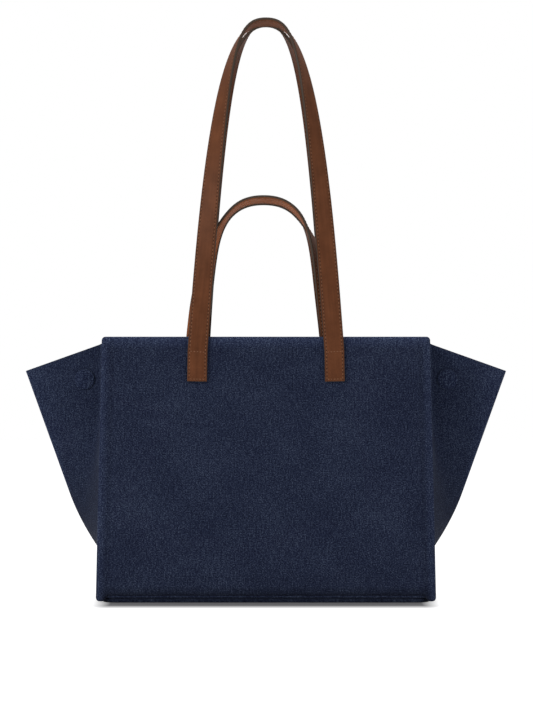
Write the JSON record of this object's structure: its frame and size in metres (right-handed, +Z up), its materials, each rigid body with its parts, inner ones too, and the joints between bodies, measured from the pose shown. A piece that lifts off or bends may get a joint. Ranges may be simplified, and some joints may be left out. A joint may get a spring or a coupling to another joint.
{
  "type": "trapeze bag",
  "caption": "Denim trapeze tote with stiffened panels, snapped side wings, long leather shoulder straps and short leather handles.",
  "frame": {"origin": "middle of the base, on the surface that the bag stands on", "axes": "+Z up through the straps, the front panel faces -Y, the wings point along +X and -X"},
  "size_m": [0.4452, 0.1296, 0.5375],
  "materials": {
    "denim": "raw indigo denim, fine diagonal twill, matt",
    "lining": "plain cotton lining, matt",
    "leather": "matt brown leather with dark painted edges and tone-on-tone stitching",
    "board": "pressed fibre board, matt, out of sight",
    "snap_metal": "nickel plated steel, satin"
  },
  "bodies": {
    "base": {"base_panel": "denim", "base_board": "board", "base_lining": "lining", "base_piping": "denim"},
    "front_half": {"front_panel": "denim", "front_stiffener": "board", "front_facing": "denim", "front_lining": "lining", "front_left_gusset": "denim", "front_right_gusset": "denim", "front_left_gusset_lining": "lining", "front_right_gusset_lining": "lining", "front_snap_covers": "denim", "front_snap_magnets": "snap_metal", "front_strap_ends": "leather", "front_handle_ends": "leather"},
    "back_half": {"back_panel": "denim", "back_stiffener": "board", "back_facing": "denim", "back_lining": "lining", "back_pocket": "lining", "back_left_gusset": "denim", "back_right_gusset": "denim", "back_left_gusset_lining": "lining", "back_right_gusset_lining": "lining", "back_snap_covers": "denim", "back_snap_magnets": "snap_metal", "back_strap_ends": "leather", "back_handle_ends": "leather"},
    "front_strap": {"front_strap": "leather"},
    "back_strap": {"back_strap": "leather"},
    "front_handle": {"front_handle": "leather"},
    "back_handle": {"back_handle": "leather"}
  },
  "joints": [
    {"name": "front_opening", "type": "hinge", "parent": "base", "child": "front_half", "pos_m": [0, -0.065, 0.0055], "axis": [1, 0, 0], "range_deg": [0, 8]},
    {"name": "back_opening", "type": "hinge", "parent": "base", "child": "back_half", "pos_m": [0, 0.065, 0.0055], "axis": [-1, 0, 0], "range_deg": [0, 8]},
    {"name": "front_strap_swing", "type": "hinge", "parent": "front_half", "child": "front_strap", "pos_m": [0, -0.05908, 0.22828], "axis": [1, 0, 0], "range_deg": [0, 140]},
    {"name": "back_strap_swing", "type": "hinge", "parent": "back_half", "child": "back_strap", "pos_m": [0, 0.05908, 0.22828], "axis": [-1, 0, 0], "range_deg": [0, 140]},
    {"name": "front_handle_swing", "type": "hinge", "parent": "front_half", "child": "front_handle", "pos_m": [0, -0.04435, 0.24228], "axis": [-1, 0, 0], "range_deg": [-3, 25]},
    {"name": "back_handle_swing", "type": "hinge", "parent": "back_half", "child": "back_handle", "pos_m": [0, 0.04435, 0.24228], "axis": [-1, 0, 0], "range_deg": [-25, 3]}
  ]
}
